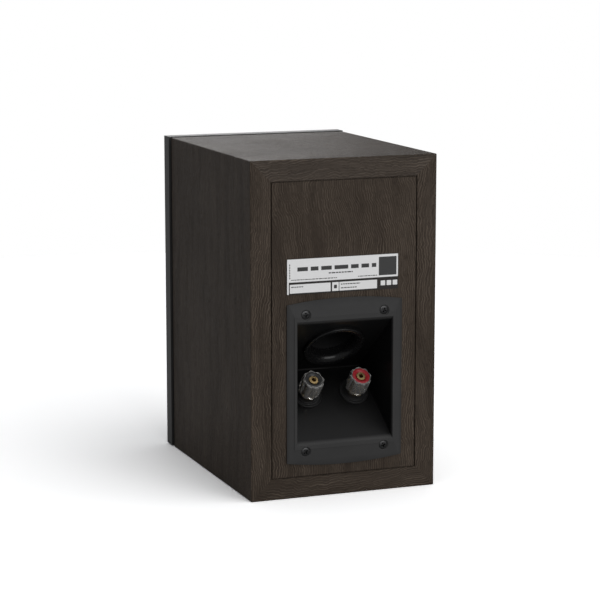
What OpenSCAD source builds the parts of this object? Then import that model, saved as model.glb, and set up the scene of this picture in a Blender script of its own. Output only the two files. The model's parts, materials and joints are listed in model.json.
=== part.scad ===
// Bookshelf loudspeaker, two-way, rear ported.
// The cabinet stands on z = 0, faces -Y, and its back with the terminals faces +Y.
// The origin is the centre of the footprint, driver trims and terminal plate included.

/* [Cabinet] */
// Width of the wooden cabinet
cab_w = 170; // [160:1:190]
// Height of the wooden cabinet
cab_h = 292; // [285:1:310]
// Depth from the face of the baffle to the rear of the cabinet
cab_d = 232; // [225:1:250]
// Thickness of the cabinet boards
wall = 18; // [16:0.5:19]
// Width of the shadow groove round the rear panel
groove_w = 1.2; // [0.8:0.1:2]
// Depth of the shadow groove round the rear panel
groove_d = 1.6; // [1:0.1:3]

/* [Front baffle] */
// Thickness of the visible baffle plate
baffle_t = 14; // [12:0.5:16]
// Shadow gap between the baffle plate and the cabinet
gap_t = 3; // [2:0.5:5]
// How far the baffle plate stands past each side of the cabinet
baffle_over = 1.5; // [0:0.5:3]
// How far the plate stands past the top of the cabinet
baffle_top = 0.5; // [0:0.1:1]
// How far the plate stays clear of the ground
baffle_lift = 1; // [0.5:0.5:3]
// Thickness of the tongue behind the plate
tongue_t = 12; // [10:1:14]

/* [Rear terminal plate] */
// Width of the terminal plate
plate_w = 106; // [104:1:110]
// Height of the plate at its corners
plate_h = 137.4; // [135:0.2:140]
// Height of the bow of its top and bottom edges
plate_bow = 4; // [3:0.5:5]
// Height of the plate's centre above the ground
plate_z = 99.9; // [97:0.1:102]
// Width of the recess opening
open_w = 88.4; // [88:0.2:90]
// Height of the recess opening
open_h = 107.4; // [106:0.2:108]
// Height of the opening's centre above the ground
open_z = 100; // [99:0.1:101]
// Height of the plate's inner rim over the cabinet
plate_rise = 3; // [2.5:0.1:3.5]
// Slope of the upper facet, below the horizontal
upper_slope = 44; // [43.5:0.5:44.5]
// Slope of the lower facet, above the horizontal
lower_slope = 45; // [44.5:0.5:45]
// Draft of the side walls, as a share of the depth
side_draft = 0.18; // [0.1:0.01:0.2]
// Depth of the recess behind the rim
recess_d = 54; // [52:0.5:54]
// Wall thickness of the moulding
shell_t = 2.5; // [2:0.1:3]

/* [Reflex port] */
// Inner radius of the port tube
port_r = 19.5; // [18:0.5:20]
// Wall thickness of the port tube
port_t = 2; // [1.5:0.1:2.5]
// Radius of the flared mouth
flare_r = 27; // [26.5:0.5:27.5]
// Length of the port tube from the mouth
port_len = 138; // [110:1:140]
// Depth of the mouth's centre behind the rim
port_depth = 28; // [27.5:0.1:29]

/* [Binding posts] */
// Distance between the posts
post_pitch = 44; // [43:0.5:45]
// Depth of the foot of the posts behind the rim
post_depth = 35.6; // [35:0.1:36.5]
// Outer radius of the knob
knob_r = 9.8; // [9.5:0.1:10.5]
// Length of the knob
knob_len = 18; // [17.5:0.1:18.5]
// Radius of the threaded stem
stem_r = 3.9; // [3.5:0.1:4]
// Length of the stem above the facet
stem_len = 24.3; // [24:0.1:24.5]
// Radius of the banana socket
banana_r = 2; // [2:0.05:2.1]
// Depth of the banana socket
banana_len = 13; // [12:0.5:13.5]

/* [Woofer] */
// Height of the woofer's axis
woofer_z = 94; // [90:1:96]
// Radius of the basket flange
basket_r = 72.5; // [71:0.5:73]
// Radius of the circle the woofer screws stand on
woofer_screw_r = 68; // [67:0.5:69]
// Travel of the cone each way
cone_travel = 5; // [3:0.5:5]

/* [Tweeter] */
// Height of the tweeter's axis
tweeter_z = 230; // [228:1:234]
// Radius of the tweeter's faceplate
face_r = 50; // [48:0.5:51]
// Radius of the dome
dome_r = 14; // [13:0.5:14]

/* [Hidden] */
$fn = 96;
eps = 0.01;
fit = 0.05;
y_rear = cab_d / 2;
y_front = -cab_d / 2;
y_shell = y_front + baffle_t + gap_t;
y_rim = y_rear + plate_rise;
in_w = cab_w - 2 * wall;
in_h = cab_h - 2 * wall;
gasket_t = 0.8;
frame_edge = 1.2;
bow_r = (plate_w * plate_w / 4 + plate_bow * plate_bow) / (2 * plate_bow);
open_top = open_z + open_h / 2;
open_low = open_z - open_h / 2;
port_pos = [0, y_rim - port_depth, open_top - port_depth * tan(upper_slope)];
post_y = y_rim - post_depth;
post_z = open_low + post_depth * tan(lower_slope);
label_x = -49.5;
label_z = 177.2;
label_w = 102.2;
label_h = 30.6;
plate_screw_x = 36;
plate_screw_dz = 59.5;
plate_screw_shank = 1.9;
plate_screw_len = 16;
plate_head_r = 3.7;
plate_head_h = 1.1;
cutout_w = open_w + 2 * shell_t - 0.6;
cutout_low = open_low - 0.8;
cutout_h = open_top + 1.1 - cutout_low;
collar_h = 2;
collar_r = 13.4;
boss_r = 9.4;
shoulder_r = 5.8;
shoulder_h = 3.5;
washer_z = collar_h + shoulder_h;
washer_t = 1.2;
knob_z = washer_z + washer_t;
cap_t = 2.4;
insert_r = 6.1;
ring_r = 7.8;
wire_hole_r = 1.3;
peg_x = 76;
peg_low = 14;
peg_high = 279;
peg_r = 2.6;
flange_t = 4;
trim_t = 3;
woofer_gap = 0.4;
former_r = 12.7;
former_t = 0.4;
coil_t = 0.6;
pole_r = former_r - woofer_gap;
gap_r = former_r + former_t + coil_t + woofer_gap;
tw_former_t = 0.3;
face_screw_r = 43.5;
woofer_hole_r = 61;
motor_r = 38;
board_z = wall + 6;
board_y = 20;
board_w = 92;
board_l = 86;
board_t = 1.6;
board_screw = [board_w / 2 - 5, board_l / 2 - 5];

wood = [0.2, 0.16, 0.13];
satin_black = [0.09, 0.09, 0.09];
moulded_black = [0.05, 0.05, 0.055];
steel = [0.6, 0.6, 0.62];
gold = [0.78, 0.6, 0.3];

// ---- shared shapes ----

module box_at(low, size) {
    translate(low) cube(size);
}

module ring(outer, inner, z0, z1) {
    difference() {
        translate([0, 0, z0]) cylinder(r = outer, h = z1 - z0);
        translate([0, 0, z0 - 1]) cylinder(r = inner, h = z1 - z0 + 2);
    }
}

// A board cut with mitred ends: the outline lies in X and Z, the length along Y
module board_along_y(points, y0, y1) {
    translate([0, y1, 0]) rotate([90, 0, 0]) linear_extrude(height = y1 - y0) polygon(points);
}

// Frames of the tilted parts: local +Z leaves the mouth's plane into the cabinet,
// and leaves the lower facet along the post
module at_port() {
    translate(port_pos) rotate([upper_slope, 0, 0]) children();
}

module at_post(side) {
    translate([side * post_pitch / 2, post_y, post_z]) rotate([-lower_slope, 0, 0]) children();
}

// Driver frames: local +Z points out of the front of the speaker
module at_woofer() {
    translate([0, y_front, woofer_z]) rotate([90, 0, 0]) children();
}

module at_tweeter() {
    translate([0, y_front, tweeter_z]) rotate([90, 0, 0]) children();
}

module around(count, radius, start = 0) {
    for (i = [0:count - 1])
        rotate([0, 0, start + i * 360 / count]) translate([radius, 0, 0]) children();
}

// A wood screw seen along +Z: a pan or countersunk head with a cross recess
module screw(head_r, head_h, shank_r, length) {
    difference() {
        union() {
            translate([0, 0, -head_h]) cylinder(r1 = shank_r, r2 = head_r, h = head_h);
            translate([0, 0, -length]) cylinder(r = shank_r, h = length - head_h / 2);
        }
        for (a = [0, 90])
            rotate([0, 0, a]) box_at([-head_r * 0.55, -0.35, -1.1], [head_r * 1.1, 0.7, 2]);
    }
}

module screw_hole(head_r, head_h, shank_r, length, sink_r = 0) {
    translate([0, 0, -head_h - fit]) cylinder(r1 = shank_r + fit, r2 = head_r + fit, h = head_h + fit);
    translate([0, 0, -length - 0.5]) cylinder(r = shank_r + fit, h = length);
    translate([0, 0, -eps]) cylinder(r = max(sink_r, head_r + fit), h = 3);
}

// ---- cabinet ----

module side_outline_board(side) {
    board_along_y([
        [side * cab_w / 2, 0], [side * cab_w / 2, cab_h],
        [side * in_w / 2, cab_h - wall], [side * in_w / 2, wall]
    ], y_shell, y_rear);
}

module side_panel_left() {
    color(wood) side_outline_board(1);
}

module side_panel_right() {
    color(wood) side_outline_board(-1);
}

module top_panel() {
    color(wood) board_along_y([
        [-cab_w / 2, cab_h], [cab_w / 2, cab_h],
        [in_w / 2, cab_h - wall], [-in_w / 2, cab_h - wall]
    ], y_shell, y_rear);
}

module bottom_panel() {
    color(wood) difference() {
        board_along_y([
            [-cab_w / 2, 0], [cab_w / 2, 0], [in_w / 2, wall], [-in_w / 2, wall]
        ], y_shell, y_rear);
        at_board_screws() translate([0, 0, -16]) cylinder(r = 1.5 + fit, h = 30);
    }
}

module rear_panel() {
    inner = [in_w - 2 * groove_w, in_h - 2 * groove_w];
    color(wood) difference() {
        union() {
            box_at([-in_w / 2, y_rear - wall, wall], [in_w, wall - groove_d, in_h]);
            box_at([-inner.x / 2, y_rear - wall, wall + groove_w], [inner.x, wall, inner.y]);
        }
        box_at([-cutout_w / 2, y_rear - wall - 1, cutout_low], [cutout_w, wall + 2, cutout_h]);
        at_plate_screws() translate([0, 0, -plate_screw_len - 1])
            cylinder(r = plate_screw_shank + fit, h = plate_screw_len + 5);
    }
}

module baffle_outline(grow_side, z0, z1, y0, y1) {
    half = cab_w / 2 + grow_side;
    box_at([-half, y0, z0], [2 * half, y1 - y0, z1 - z0]);
}

module front_baffle() {
    color(satin_black) difference() {
        union() {
            baffle_outline(baffle_over, baffle_lift, cab_h + baffle_top, y_front, y_front + baffle_t);
            baffle_outline(-5, 6, cab_h - 6, y_front + baffle_t - eps, y_shell);
            baffle_outline(-wall, wall, cab_h - wall, y_shell - eps, y_shell + tongue_t);
        }
        at_woofer() {
            translate([0, 0, -flange_t - gasket_t]) cylinder(r = basket_r + 0.3, h = 20);
            translate([0, 0, -60]) cylinder(r = woofer_hole_r, h = 80);
            around(6, woofer_screw_r, 30) screw_hole(3.2, 2, 1.9, 22);
        }
        at_tweeter() {
            translate([0, 0, -flange_t - gasket_t]) cylinder(r = face_r + 0.3, h = 20);
            translate([0, 0, -60]) cylinder(r = 35, h = 80);
            around(4, face_screw_r, 45) screw_hole(3, 1.8, 1.7, 20);
        }
        at_pegs() translate([0, 0, -10.5]) cylinder(r = 4.5 + fit, h = 20);
    }
}

module shelf_brace() {
    color([0.55, 0.45, 0.32]) difference() {
        box_at([-in_w / 2, y_shell + tongue_t, 168], [in_w, 84, 12]);
        box_at([-42, y_shell + tongue_t + 16, 160], [84, 48, 30]);
    }
}

module damping_wadding() {
    color([0.75, 0.75, 0.72]) {
        for (side = [-1, 1])
            translate([side * (in_w / 2 - 7.5), 0, 0])
                box_at([-7, -78, 186], [14, 166, 82]);
        box_at([-50, -78, cab_h - wall - 16], [100, 60, 15]);
    }
}

module at_pegs() {
    for (x = [-peg_x, peg_x], z = [peg_low, peg_high])
        translate([x, y_front, z]) rotate([90, 0, 0]) children();
}

module grille_sockets() {
    color([0.04, 0.04, 0.04]) at_pegs() difference() {
        union() {
            translate([0, 0, -10]) cylinder(r = 4.5, h = 10);
            cylinder(r = 6, h = 0.8);
        }
        translate([0, 0, -9]) cylinder(r = peg_r, h = 12);
    }
}

// ---- rear terminal plate ----

// The wedge-shaped recess, or its outer skin when grow is above 0.
// It narrows behind the rim between two sloping facets and two drafted walls.
module recess_solid(grow, past) {
    up = grow / cos(upper_slope);
    down = grow / cos(lower_slope);
    deep = recess_d + grow;
    half = open_w / 2 + grow;
    z_up = function(d) open_top - d * tan(upper_slope) + up;
    z_low = function(d) open_low + d * tan(lower_slope) - down;
    intersection() {
        translate([-100, 0, 0]) rotate([90, 0, 90]) linear_extrude(height = 200)
            polygon([
                [y_rim + past, z_low(0)], [y_rim, z_low(0)], [y_rim - deep, z_low(deep)],
                [y_rim - deep, z_up(deep)], [y_rim, z_up(0)], [y_rim + past, z_up(0)]
            ]);
        linear_extrude(height = 300)
            polygon([
                [half, y_rim + past], [half, y_rim], [half - side_draft * deep, y_rim - deep],
                [-half + side_draft * deep, y_rim - deep], [-half, y_rim], [-half, y_rim + past]
            ]);
    }
}

// Outline of the plate in X and Z: straight sides, bowed top and bottom
module plate_outline(shrink = 0) {
    intersection() {
        square([plate_w - 2 * shrink, plate_h + 2 * plate_bow], center = true);
        translate([0, plate_h / 2 + plate_bow - bow_r]) circle(r = bow_r - shrink, $fn = 360);
        translate([0, bow_r - plate_h / 2 - plate_bow]) circle(r = bow_r - shrink, $fn = 360);
    }
}

// The bevelled frame: two crossing roof profiles meet in mitres at the corners
module plate_frame() {
    y0 = y_rear + gasket_t;
    y1 = y_rear + frame_edge;
    hz = plate_h / 2 + plate_bow;
    intersection() {
        translate([0, y_rim + 1, plate_z]) rotate([90, 0, 0]) linear_extrude(height = 10) plate_outline();
        translate([-100, 0, 0]) rotate([90, 0, 90]) linear_extrude(height = 200)
            polygon([
                [y0, plate_z - hz], [y1, plate_z - hz], [y_rim, open_low], [y_rim, open_top],
                [y1, plate_z + hz], [y0, plate_z + hz]
            ]);
        linear_extrude(height = 300)
            polygon([
                [-plate_w / 2, y0], [-plate_w / 2, y1], [-open_w / 2, y_rim],
                [open_w / 2, y_rim], [plate_w / 2, y1], [plate_w / 2, y0]
            ]);
    }
}

module at_plate_screws() {
    for (x = [-1, 1], z = [-1, 1])
        translate([x * plate_screw_x, y_rear + 1.9, plate_z + z * plate_screw_dz])
            rotate([-90, 0, 0]) children();
}

module terminal_plate() {
    color(moulded_black) difference() {
        union() {
            plate_frame();
            intersection() {
                recess_solid(shell_t, 0);
                box_at([-60, 0, 0], [120, y_rim, 300]);
            }
            at_port() cylinder(r = port_r + port_t + 2.2, h = 12);
            for (side = [-1, 1]) at_post(side) translate([0, 0, -4]) cylinder(r = 9, h = 2);
        }
        recess_solid(0, 10);
        at_port() translate([0, 0, -30]) cylinder(r = port_r + port_t + fit, h = 50);
        for (side = [-1, 1]) at_post(side) translate([0, 0, -20]) cylinder(r = stem_r + fit, h = 30);
        at_plate_screws()
            screw_hole(plate_head_r, plate_head_h, plate_screw_shank, plate_screw_len, 4.6);
    }
}

module plate_gasket() {
    color([0.03, 0.03, 0.03]) difference() {
        translate([0, y_rear + gasket_t, plate_z]) rotate([90, 0, 0])
            linear_extrude(height = gasket_t) plate_outline(1);
        recess_solid(shell_t + 0.5, 10);
        at_plate_screws() translate([0, 0, -10]) cylinder(r = plate_screw_shank + fit, h = 20);
    }
}

module plate_screws() {
    color(steel) at_plate_screws() screw(plate_head_r, plate_head_h, plate_screw_shank, plate_screw_len);
}

// Flared mouth: a trumpet bead that stands on the facet and runs down into the tube
module port_flare() {
    roll = 6;
    roll_z = 2.8;
    centre = port_r + roll;
    top = roll_z - roll;
    wall_t = port_t - 0.02;
    seat = -0.02;
    color(moulded_black) at_port() rotate_extrude() {
        intersection() {
            translate([centre, roll_z]) circle(r = roll);
            union() {
                translate([port_r, top]) square([roll, seat - top]);
                translate([port_r, top]) square([wall_t, roll_z - top]);
            }
        }
        polygon([
            [centre - eps, top], [flare_r - 0.4, top], [flare_r + 0.2, top + 0.7],
            [flare_r + 0.2, seat], [centre - eps, seat]
        ]);
        translate([port_r, roll_z - eps]) square([wall_t, 9 - roll_z]);
    }
}

module port_tube() {
    outer = port_r + port_t;
    bell = 8;
    color(moulded_black) at_port() rotate_extrude()
        difference() {
            union() {
                translate([port_r, 9]) square([port_t, port_len - 9]);
                translate([port_r, port_len - bell]) square([bell, bell]);
            }
            translate([outer + bell, port_len - bell - 2]) circle(r = bell);
            translate([port_r - eps, port_len - bell])
                polygon([[-9, 0], [0, 0], [bell - 2.4, bell + 0.1], [-9, bell + 0.1]]);
        }
}

module label_backing() {
    color([0.1, 0.1, 0.1]) box_at([label_x, y_rear, label_z], [label_w, 0.3, label_h]);
}

// A silver field, a strip down its side and a row of three cells below it
module label_foil() {
    row_z = label_z + 1.2;
    row_h = 7.5;
    field_z = label_z + 10.6;
    edge = 0.3;
    color([0.72, 0.72, 0.7]) translate([0, y_rear + 0.3, 0]) {
        box_at([label_x + edge, 0, field_z], [label_w - 2 * edge, 0.2, label_h - 10.6 - edge]);
        box_at([label_x + label_w - 1.8, 0, label_z + edge], [1.5, 0.2, 10.6 - edge + eps]);
        for (cell = [[13, 37], [5.5, 6.1], [-29.8, 34.7]])
            box_at([cell[0], 0, row_z], [cell[1], 0.2, row_h]);
    }
}

// ---- binding posts ----

module post_collars() {
    color(moulded_black) for (side = [-1, 1]) at_post(side) difference() {
        union() {
            cylinder(r1 = collar_r, r2 = collar_r - 0.6, h = 1.4);
            cylinder(r = boss_r, h = collar_h);
        }
        translate([0, 0, 0.6]) difference() {
            cylinder(r = collar_r - 1.4, h = 3);
            translate([0, 0, -1]) cylinder(r = boss_r, h = 5);
        }
        translate([0, 0, -1]) cylinder(r = stem_r + fit, h = 6);
    }
}

module post_stem(side) {
    color(gold) at_post(side) difference() {
        union() {
            translate([0, 0, -18]) cylinder(r = 3, h = 18 - 4 + eps);
            translate([0, 0, -4]) cylinder(r = stem_r, h = stem_len + 4);
            translate([0, 0, collar_h]) cylinder(r = shoulder_r, h = shoulder_h);
        }
        translate([0, 0, stem_len - banana_len]) cylinder(r = banana_r, h = banana_len + 1);
        translate([-6, 0, washer_z + 1.5]) rotate([0, 90, 0]) cylinder(r = wire_hole_r, h = 12);
    }
}

module clamp_washer(side) {
    color(steel) at_post(side) ring(8, stem_r + 0.15, washer_z, knob_z);
}

// Eight shallow flutes round a clear moulded nut
module knob(side) {
    flute_r = 5;
    chamfer = 1.4;
    color([0.75, 0.75, 0.75, 0.6]) at_post(side) difference() {
        union() {
            translate([0, 0, knob_z]) cylinder(r = knob_r, h = knob_len - chamfer);
            translate([0, 0, knob_z + knob_len - chamfer])
                cylinder(r1 = knob_r, r2 = knob_r - 1.3, h = chamfer);
        }
        around(8, knob_r + flute_r - 1, 22.5)
            translate([0, 0, knob_z + 1.6]) cylinder(r = flute_r, h = knob_len);
        cylinder(r = insert_r, h = 40);
        translate([0, 0, knob_z + knob_len - cap_t]) cylinder(r = ring_r, h = 5);
    }
}

module knob_insert(side) {
    color(gold) at_post(side)
        ring(insert_r, stem_r + 0.07, knob_z, knob_z + knob_len - cap_t);
}

module knob_ring(side, tint) {
    color(tint) at_post(side) difference() {
        translate([0, 0, knob_z + knob_len - cap_t]) cylinder(r = ring_r, h = cap_t);
        translate([0, 0, knob_z]) cylinder(r = stem_r + 0.3, h = 20);
        translate([0, 0, knob_z + knob_len - 1])
            cylinder(r1 = stem_r + 0.3, r2 = ring_r - 1.6, h = 1.2);
    }
}

module post_nuts() {
    color(steel) for (side = [-1, 1]) at_post(side) difference() {
        translate([0, 0, -9]) cylinder(r = 5.8, h = 4, $fn = 6);
        translate([0, 0, -10]) cylinder(r = 3 + fit, h = 6);
    }
}

module solder_tags() {
    color(steel) for (side = [-1, 1]) at_post(side) difference() {
        translate([0, 0, -5]) union() {
            cylinder(r = 5, h = 0.8);
            box_at([-2, 0, 0], [4, 13, 0.8]);
        }
        translate([0, 0, -6]) cylinder(r = 3 + fit, h = 3);
        translate([0, 11, -6]) cylinder(r = 1, h = 3);
    }
}

module red_post_stem() { post_stem(-1); }
module black_post_stem() { post_stem(1); }
module red_clamp_washer() { clamp_washer(-1); }
module black_clamp_washer() { clamp_washer(1); }
module red_knob() { knob(-1); }
module black_knob() { knob(1); }
module red_knob_insert() { knob_insert(-1); }
module black_knob_insert() { knob_insert(1); }
module red_ring() { knob_ring(-1, "red"); }
module black_ring() { knob_ring(1, [0.12, 0.12, 0.12]); }

// ---- woofer ----

module woofer_basket() {
    color([0.07, 0.07, 0.07]) at_woofer() difference() {
        rotate_extrude() polygon([
            [basket_r, -flange_t], [basket_r, 0], [58, 0], [58, -0.95], [57, -0.95], [56.2, -flange_t],
            [35.5, -33.2], [35.5, -38], [20, -38], [20, -41], [38, -41], [38, -34], [58.5, -flange_t]
        ]);
        around(6, woofer_screw_r, 30) screw_hole(3.2, 2, 1.9, 22);
        around(6, 47, 0) translate([-8, -12, -34]) cube([16, 24, 26]);
    }
}

module woofer_gasket() {
    color([0.03, 0.03, 0.03]) at_woofer() difference() {
        ring(basket_r, woofer_hole_r, -flange_t - gasket_t, -flange_t);
        around(6, woofer_screw_r, 30) translate([0, 0, -10]) cylinder(r = 1.9 + fit, h = 12);
    }
}

module woofer_trim() {
    color([0.05, 0.05, 0.05]) at_woofer() rotate_extrude()
        polygon([[58.4, 0], [63.8, 0], [63.8, 0.8], [62, trim_t], [60, trim_t], [58.4, 1.6]]);
}

module woofer_surround() {
    color([0.04, 0.04, 0.04]) at_woofer() rotate_extrude() {
        difference() {
            translate([53.6, -0.9]) circle(r = 3.9);
            translate([53.6, -0.9]) circle(r = 3.1);
            translate([40, -10]) square([30, 9.1]);
        }
        translate([49.2, -0.9]) square([1.2, 0.8]);
        translate([56.8, -0.9]) square([1.1, 0.8]);
    }
}

module woofer_cone() {
    color([0.12, 0.1, 0.1]) at_woofer() rotate_extrude()
        polygon([
            [50.4, -1.8], [50.4, -0.95], [48.6, -0.95], [13.3, -24], [13.3, -25], [14.2, -25], [48.9, -1.8]
        ]);
}

module woofer_dust_cap() {
    color([0.08, 0.08, 0.08]) at_woofer() translate([0, 0, -33.5]) rotate_extrude()
        intersection() {
            difference() {
                circle(r = 20);
                circle(r = 19.2);
            }
            translate([0, 11.62]) square([30, 30]);
        }
}

module woofer_coil_former() {
    color([0.7, 0.5, 0.3]) at_woofer() ring(former_r + former_t, former_r, -56, -21.3);
}

module woofer_voice_coil() {
    color([0.72, 0.42, 0.2]) at_woofer()
        ring(former_r + former_t + coil_t, former_r + former_t, -50, -38);
}

module woofer_spider() {
    inner = former_r + former_t + 0.02;
    color([0.6, 0.5, 0.3]) at_woofer() rotate_extrude() difference() {
        union() {
            for (i = [0:2])
                translate([16.4 + i * 6, -35]) difference() {
                    circle(r = 1.9);
                    circle(r = 1.2);
                    translate([-5, -10]) square([10, 10]);
                }
            translate([inner, -35]) square([16.4 - 1.2 - inner, 0.7]);
            for (i = [0:1]) translate([16.4 + 1.2 + i * 6, -35]) square([3.6, 0.7]);
            translate([29.6, -35]) square([5.8, 0.7]);
        }
    }
}

module woofer_top_plate() {
    color(steel) at_woofer() ring(motor_r, gap_r, -46, -41);
}

module woofer_magnet() {
    color([0.15, 0.15, 0.16]) at_woofer() ring(42, 17, -62, -46);
}

module woofer_yoke() {
    color(steel) at_woofer() {
        translate([0, 0, -68]) cylinder(r = motor_r, h = 6);
        translate([0, 0, -62 - eps]) cylinder(r = pole_r, h = 21);
    }
}

module woofer_screws() {
    color([0.1, 0.1, 0.1]) at_woofer() around(6, woofer_screw_r, 30) screw(3.2, 2, 1.9, 22);
}

// ---- tweeter ----

module tweeter_faceplate() {
    color([0.06, 0.06, 0.06]) at_tweeter() difference() {
        translate([0, 0, -flange_t]) cylinder(r = face_r, h = flange_t);
        translate([0, 0, -flange_t + 0.6]) cylinder(r1 = 18.4, r2 = 31, h = flange_t - 0.6 + eps);
        translate([0, 0, -10]) cylinder(r = 18.4, h = 12);
        around(4, face_screw_r, 45) screw_hole(3, 1.8, 1.7, 20);
    }
}

module tweeter_gasket() {
    color([0.03, 0.03, 0.03]) at_tweeter() difference() {
        ring(face_r, 36, -flange_t - gasket_t, -flange_t);
        around(4, face_screw_r, 45) translate([0, 0, -10]) cylinder(r = 1.7 + fit, h = 12);
    }
}

module tweeter_surround() {
    mid = dome_r + 2.1;
    color([0.05, 0.05, 0.05]) at_tweeter() rotate_extrude() {
        difference() {
            translate([mid, -3.4]) circle(r = 1.7);
            translate([mid, -3.4]) circle(r = 1.35);
            translate([0, -10]) square([30, 6.6]);
        }
        translate([mid + 1.35, -3.4]) square([0.9, 0.35]);
    }
}

module tweeter_dome() {
    cap = 20;
    drop = sqrt(cap * cap - dome_r * dome_r);
    color([0.06, 0.06, 0.07]) at_tweeter() translate([0, 0, -3.4 - drop]) rotate_extrude()
        intersection() {
            difference() {
                circle(r = cap);
                circle(r = cap - 0.35);
            }
            translate([0, drop]) square([dome_r, 30]);
        }
}

module tweeter_voice_coil() {
    color([0.72, 0.42, 0.2]) at_tweeter() ring(dome_r - 0.05, dome_r - 0.05 - tw_former_t, -11, -3.42);
}

module tweeter_top_plate() {
    color(steel) at_tweeter() ring(33, dome_r + 0.4, -9.4, -5.4);
}

module tweeter_magnet() {
    color([0.15, 0.15, 0.16]) at_tweeter() ring(33.5, 17, -19, -9.4);
}

module tweeter_yoke() {
    color(steel) at_tweeter() difference() {
        union() {
            translate([0, 0, -23]) cylinder(r = 31, h = 4);
            translate([0, 0, -19 - eps]) cylinder(r = dome_r - 0.8, h = 13);
        }
        translate([0, 0, -30]) cylinder(r = 4, h = 40);
    }
}

module tweeter_chamber() {
    color(moulded_black) at_tweeter() difference() {
        translate([0, 0, -42]) cylinder(r = 27, h = 19);
        translate([0, 0, -40]) cylinder(r = 25, h = 20);
    }
}

module tweeter_screws() {
    color([0.1, 0.1, 0.1]) at_tweeter() around(4, face_screw_r, 45) screw(3, 1.8, 1.7, 20);
}

// ---- crossover and wiring ----

module at_board() {
    translate([0, board_y, board_z]) children();
}

module at_board_screws() {
    at_board() for (x = [-1, 1], y = [-1, 1])
        translate([x * board_screw.x, y * board_screw.y, board_t]) children();
}

module crossover_board() {
    color([0.1, 0.35, 0.2]) difference() {
        union() {
            at_board() box_at([-board_w / 2, -board_l / 2, 0], [board_w, board_l, board_t]);
            at_board_screws() translate([0, 0, wall - board_z - board_t])
                cylinder(r = 3.5, h = board_z - wall);
        }
        at_board_screws() translate([0, 0, -20]) cylinder(r = 1.5 + fit, h = 30);
    }
}

module coil(radius, height) {
    ring(radius, radius * 0.4, 0, height);
    ring(radius * 0.4, radius * 0.25, 0, height + 2);
}

module crossover_coils() {
    color([0.7, 0.4, 0.18]) at_board() translate([0, 0, board_t]) {
        translate([-22, -20, 0]) coil(17, 16);
        translate([24, 20, 0]) coil(12, 11);
    }
}

module crossover_capacitors() {
    color([0.85, 0.75, 0.2]) at_board() translate([0, 0, board_t]) {
        translate([12, -30, 8]) rotate([-90, 0, 0]) cylinder(r = 8, h = 32);
        translate([31, -30, 6.5]) rotate([-90, 0, 0]) cylinder(r = 6.5, h = 26);
        translate([-26, 22, 0]) cylinder(r = 9, h = 24);
    }
}

module crossover_resistor() {
    color([0.9, 0.9, 0.86]) at_board() translate([0, 0, board_t]) box_at([-8, 12, 0], [9, 24, 9]);
}

module crossover_screws() {
    color(steel) at_board_screws() {
        cylinder(r = 2.8, h = 1.6);
        translate([0, 0, -15]) cylinder(r = 1.5, h = 16);
    }
}

// A wire swept along its route: one ring of corners square to the route at each point
module wire(points, r) {
    sides = 8;
    last = len(points) - 1;
    unit = function(v) v / norm(v);
    along = function(i) unit(points[min(i + 1, last)] - points[max(i - 1, 0)]);
    across = function(t) unit(cross(t, abs(t.x) < 0.9 ? [1, 0, 0] : [0, 0, 1]));
    rings = [
        for (i = [0:last], k = [0:sides - 1])
            let (t = along(i), u = across(t), v = cross(t, u), a = 360 * k / sides)
                points[i] + r * (cos(a) * u + sin(a) * v)
    ];
    walls = [
        for (i = [0:last - 1], k = [0:sides - 1])
            let (n = (k + 1) % sides)
                [i * sides + k, (i + 1) * sides + k, (i + 1) * sides + n, i * sides + n]
    ];
    ends = [[for (k = [0:sides - 1]) k], [for (k = [sides - 1:-1:0]) last * sides + k]];
    polyhedron(points = rings, faces = concat(walls, ends));
}

module internal_wires() {
    lead_r = 1.2;
    z0 = board_z + board_t;
    color([0.15, 0.15, 0.15]) for (side = [-1, 1]) {
        wire([
            [side * 8, board_y - 38, z0], [side * 8, board_y - 38, 60], [side * 50, -48, 62],
            [side * 50, -60, 80], [side * 41, -72, 84]
        ], lead_r);
        wire([
            [side * 3, board_y - 38, z0], [side * 3, -20, 60], [side * 3, -34, 150],
            [side * 8, -34, 200], [side * 8, -66, 222], [side * 8, -73, 224]
        ], lead_r);
        wire([
            [side * 16, board_y + 40, z0], [side * 16, board_y + 41, 40], [side * 22, 83, 55],
            [side * 22, 86.4, 68.9]
        ], lead_r);
    }
}

side_panel_left();
side_panel_right();
top_panel();
bottom_panel();
rear_panel();
front_baffle();
shelf_brace();
damping_wadding();
grille_sockets();
terminal_plate();
plate_gasket();
plate_screws();
port_flare();
port_tube();
label_backing();
label_foil();
post_collars();
red_post_stem();
black_post_stem();
red_clamp_washer();
black_clamp_washer();
red_knob();
black_knob();
red_knob_insert();
black_knob_insert();
red_ring();
black_ring();
post_nuts();
solder_tags();
woofer_basket();
woofer_gasket();
woofer_trim();
woofer_surround();
woofer_cone();
woofer_dust_cap();
woofer_coil_former();
woofer_voice_coil();
woofer_spider();
woofer_top_plate();
woofer_magnet();
woofer_yoke();
woofer_screws();
tweeter_faceplate();
tweeter_gasket();
tweeter_surround();
tweeter_dome();
tweeter_voice_coil();
tweeter_top_plate();
tweeter_magnet();
tweeter_yoke();
tweeter_chamber();
tweeter_screws();
crossover_board();
crossover_coils();
crossover_capacitors();
crossover_resistor();
crossover_screws();
internal_wires();
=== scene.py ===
"""Looks of a two-way bookshelf loudspeaker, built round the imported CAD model.

Lengths below are millimetres in the CAD frame (+Z up, the terminals face +Y), unless a comment says metres. mm()
makes them metres. Profiles are (radius, height) points, with the height measured out of the face they stand on.
"""

import json
import math
import random

import bmesh
import bpy
from mathutils import Matrix, Vector, noise


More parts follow.
